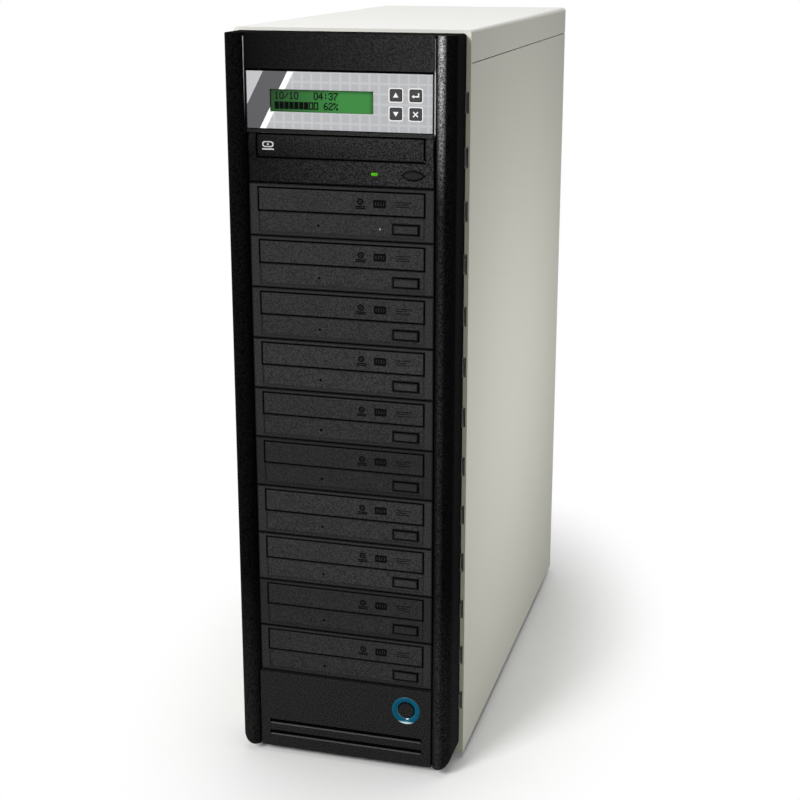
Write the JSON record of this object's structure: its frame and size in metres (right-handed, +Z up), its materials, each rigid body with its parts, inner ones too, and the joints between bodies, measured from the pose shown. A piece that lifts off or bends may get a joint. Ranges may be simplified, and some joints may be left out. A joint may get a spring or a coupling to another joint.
{
  "type": "disc duplicator tower",
  "caption": "Tall upright tower that copies optical discs: a stack of tray drives between two dark pillars, a keypad and display above, and a round power button below.",
  "frame": {"origin": "centre of the footprint, on the plane that the rubber feet stand on", "axes": "+Z up, -Y towards the front with the drives, +X to the right of someone facing the front"},
  "size_m": [0.19, 0.458, 0.607],
  "materials": {
    "case_paint": "fine-textured powder coat",
    "zinc_steel": "zinc-plated sheet",
    "pillar_plastic": "fine-grained moulding",
    "bezel_plastic": "fine-grained moulding",
    "reader_plastic": "smooth moulding",
    "control_face": "printed foil on plastic",
    "display": "backlit display behind a window",
    "key_plastic": "moulded keys",
    "lamp_green": "light pipe",
    "lamp_clear": "light pipe",
    "ring_blue": "tinted translucent ring",
    "circuit_board": "lacquered board",
    "black_plastic": "moulded",
    "rubber": "matte"
  },
  "bodies": {
    "tower": {"front_frame": "case_paint", "top_cover": "case_paint", "left_side_panel": "case_paint", "right_side_panel": "case_paint", "base_pan": "zinc_steel", "rear_panel": "zinc_steel", "left_cage_wall": "zinc_steel", "right_cage_wall": "zinc_steel", "recorder_housings": "zinc_steel", "reader_housing": "zinc_steel", "power_supply": "zinc_steel", "cover_screws": "zinc_steel", "left_pillar": "pillar_plastic", "right_pillar": "pillar_plastic", "top_panel": "pillar_plastic", "power_panel": "pillar_plastic", "recorder_bezels": "bezel_plastic", "reader_bezel": "reader_plastic", "control_panel": "control_face", "lcd_module": "display", "reader_lamp": "lamp_green", "recorder_lamps": "lamp_clear", "power_ring": "ring_blue", "control_boards": "circuit_board", "inlet_module": "black_plastic", "fan_frames": "black_plastic", "rubber_feet": "rubber"},
    "disc_tray_01": {"recorder_tray_01": "bezel_plastic"},
    "disc_tray_02": {"recorder_tray_02": "bezel_plastic"},
    "disc_tray_03": {"recorder_tray_03": "bezel_plastic"},
    "disc_tray_04": {"recorder_tray_04": "bezel_plastic"},
    "disc_tray_05": {"recorder_tray_05": "bezel_plastic"},
    "disc_tray_06": {"recorder_tray_06": "bezel_plastic"},
    "disc_tray_07": {"recorder_tray_07": "bezel_plastic"},
    "disc_tray_08": {"recorder_tray_08": "bezel_plastic"},
    "disc_tray_09": {"recorder_tray_09": "bezel_plastic"},
    "disc_tray_10": {"recorder_tray_10": "bezel_plastic"},
    "disc_tray_reader": {"reader_tray": "reader_plastic"},
    "eject_01": {"recorder_eject_01": "bezel_plastic"},
    "eject_02": {"recorder_eject_02": "bezel_plastic"},
    "eject_03": {"recorder_eject_03": "bezel_plastic"},
    "eject_04": {"recorder_eject_04": "bezel_plastic"},
    "eject_05": {"recorder_eject_05": "bezel_plastic"},
    "eject_06": {"recorder_eject_06": "bezel_plastic"},
    "eject_07": {"recorder_eject_07": "bezel_plastic"},
    "eject_08": {"recorder_eject_08": "bezel_plastic"},
    "eject_09": {"recorder_eject_09": "bezel_plastic"},
    "eject_10": {"recorder_eject_10": "bezel_plastic"},
    "eject_reader": {"reader_eject": "reader_plastic"},
    "key_down_cap": {"key_down": "key_plastic"},
    "key_enter_cap": {"key_enter": "key_plastic"},
    "key_escape_cap": {"key_escape": "key_plastic"},
    "key_up_cap": {"key_up": "key_plastic"},
    "power_plunger": {"power_button": "pillar_plastic"},
    "mains_rocker": {"rocker_switch": "black_plastic"},
    "lower_rotor": {"lower_fan_rotor": "black_plastic"},
    "upper_rotor": {"upper_fan_rotor": "black_plastic"}
  },
  "joints": [
    {"name": "disc_tray_01_slide", "type": "slide", "parent": "tower", "child": "disc_tray_01", "axis": [0, -1, 0], "range_m": [0, 0.14]},
    {"name": "disc_tray_02_slide", "type": "slide", "parent": "tower", "child": "disc_tray_02", "axis": [0, -1, 0], "range_m": [0, 0.14]},
    {"name": "disc_tray_03_slide", "type": "slide", "parent": "tower", "child": "disc_tray_03", "axis": [0, -1, 0], "range_m": [0, 0.14]},
    {"name": "disc_tray_04_slide", "type": "slide", "parent": "tower", "child": "disc_tray_04", "axis": [0, -1, 0], "range_m": [0, 0.14]},
    {"name": "disc_tray_05_slide", "type": "slide", "parent": "tower", "child": "disc_tray_05", "axis": [0, -1, 0], "range_m": [0, 0.14]},
    {"name": "disc_tray_06_slide", "type": "slide", "parent": "tower", "child": "disc_tray_06", "axis": [0, -1, 0], "range_m": [0, 0.14]},
    {"name": "disc_tray_07_slide", "type": "slide", "parent": "tower", "child": "disc_tray_07", "axis": [0, -1, 0], "range_m": [0, 0.14]},
    {"name": "disc_tray_08_slide", "type": "slide", "parent": "tower", "child": "disc_tray_08", "axis": [0, -1, 0], "range_m": [0, 0.14]},
    {"name": "disc_tray_09_slide", "type": "slide", "parent": "tower", "child": "disc_tray_09", "axis": [0, -1, 0], "range_m": [0, 0.14]},
    {"name": "disc_tray_10_slide", "type": "slide", "parent": "tower", "child": "disc_tray_10", "axis": [0, -1, 0], "range_m": [0, 0.14]},
    {"name": "disc_tray_reader_slide", "type": "slide", "parent": "tower", "child": "disc_tray_reader", "axis": [0, -1, 0], "range_m": [0, 0.14]},
    {"name": "eject_01_press", "type": "slide", "parent": "tower", "child": "eject_01", "axis": [0, 1, 0], "range_m": [0, 0.0012], "stiffness_N_per_m": 300},
    {"name": "eject_02_press", "type": "slide", "parent": "tower", "child": "eject_02", "axis": [0, 1, 0], "range_m": [0, 0.0012], "stiffness_N_per_m": 300},
    {"name": "eject_03_press", "type": "slide", "parent": "tower", "child": "eject_03", "axis": [0, 1, 0], "range_m": [0, 0.0012], "stiffness_N_per_m": 300},
    {"name": "eject_04_press", "type": "slide", "parent": "tower", "child": "eject_04", "axis": [0, 1, 0], "range_m": [0, 0.0012], "stiffness_N_per_m": 300},
    {"name": "eject_05_press", "type": "slide", "parent": "tower", "child": "eject_05", "axis": [0, 1, 0], "range_m": [0, 0.0012], "stiffness_N_per_m": 300},
    {"name": "eject_06_press", "type": "slide", "parent": "tower", "child": "eject_06", "axis": [0, 1, 0], "range_m": [0, 0.0012], "stiffness_N_per_m": 300},
    {"name": "eject_07_press", "type": "slide", "parent": "tower", "child": "eject_07", "axis": [0, 1, 0], "range_m": [0, 0.0012], "stiffness_N_per_m": 300},
    {"name": "eject_08_press", "type": "slide", "parent": "tower", "child": "eject_08", "axis": [0, 1, 0], "range_m": [0, 0.0012], "stiffness_N_per_m": 300},
    {"name": "eject_09_press", "type": "slide", "parent": "tower", "child": "eject_09", "axis": [0, 1, 0], "range_m": [0, 0.0012], "stiffness_N_per_m": 300},
    {"name": "eject_10_press", "type": "slide", "parent": "tower", "child": "eject_10", "axis": [0, 1, 0], "range_m": [0, 0.0012], "stiffness_N_per_m": 300},
    {"name": "eject_reader_press", "type": "slide", "parent": "tower", "child": "eject_reader", "axis": [0, 1, 0], "range_m": [0, 0.0012], "stiffness_N_per_m": 300},
    {"name": "key_down_press", "type": "slide", "parent": "tower", "child": "key_down_cap", "axis": [0, 1, 0], "range_m": [0, 0.0006], "stiffness_N_per_m": 500},
    {"name": "key_enter_press", "type": "slide", "parent": "tower", "child": "key_enter_cap", "axis": [0, 1, 0], "range_m": [0, 0.0006], "stiffness_N_per_m": 500},
    {"name": "key_escape_press", "type": "slide", "parent": "tower", "child": "key_escape_cap", "axis": [0, 1, 0], "range_m": [0, 0.0006], "stiffness_N_per_m": 500},
    {"name": "key_up_press", "type": "slide", "parent": "tower", "child": "key_up_cap", "axis": [0, 1, 0], "range_m": [0, 0.0006], "stiffness_N_per_m": 500},
    {"name": "power_button_press", "type": "slide", "parent": "tower", "child": "power_plunger", "axis": [0, 1, 0], "range_m": [0, 0.002], "stiffness_N_per_m": 300},
    {"name": "rocker_tilt", "type": "hinge", "parent": "tower", "child": "mains_rocker", "pos_m": [0.043, 0.2224, 0.064], "axis": [1, 0, 0], "range_deg": [-20, 0]},
    {"name": "fan_lower_spin", "type": "hinge", "parent": "tower", "child": "lower_rotor", "pos_m": [0, 0.2105, 0.221], "axis": [0, 1, 0], "continuous": true},
    {"name": "fan_upper_spin", "type": "hinge", "parent": "tower", "child": "upper_rotor", "pos_m": [0, 0.2105, 0.421], "axis": [0, 1, 0], "continuous": true}
  ]
}
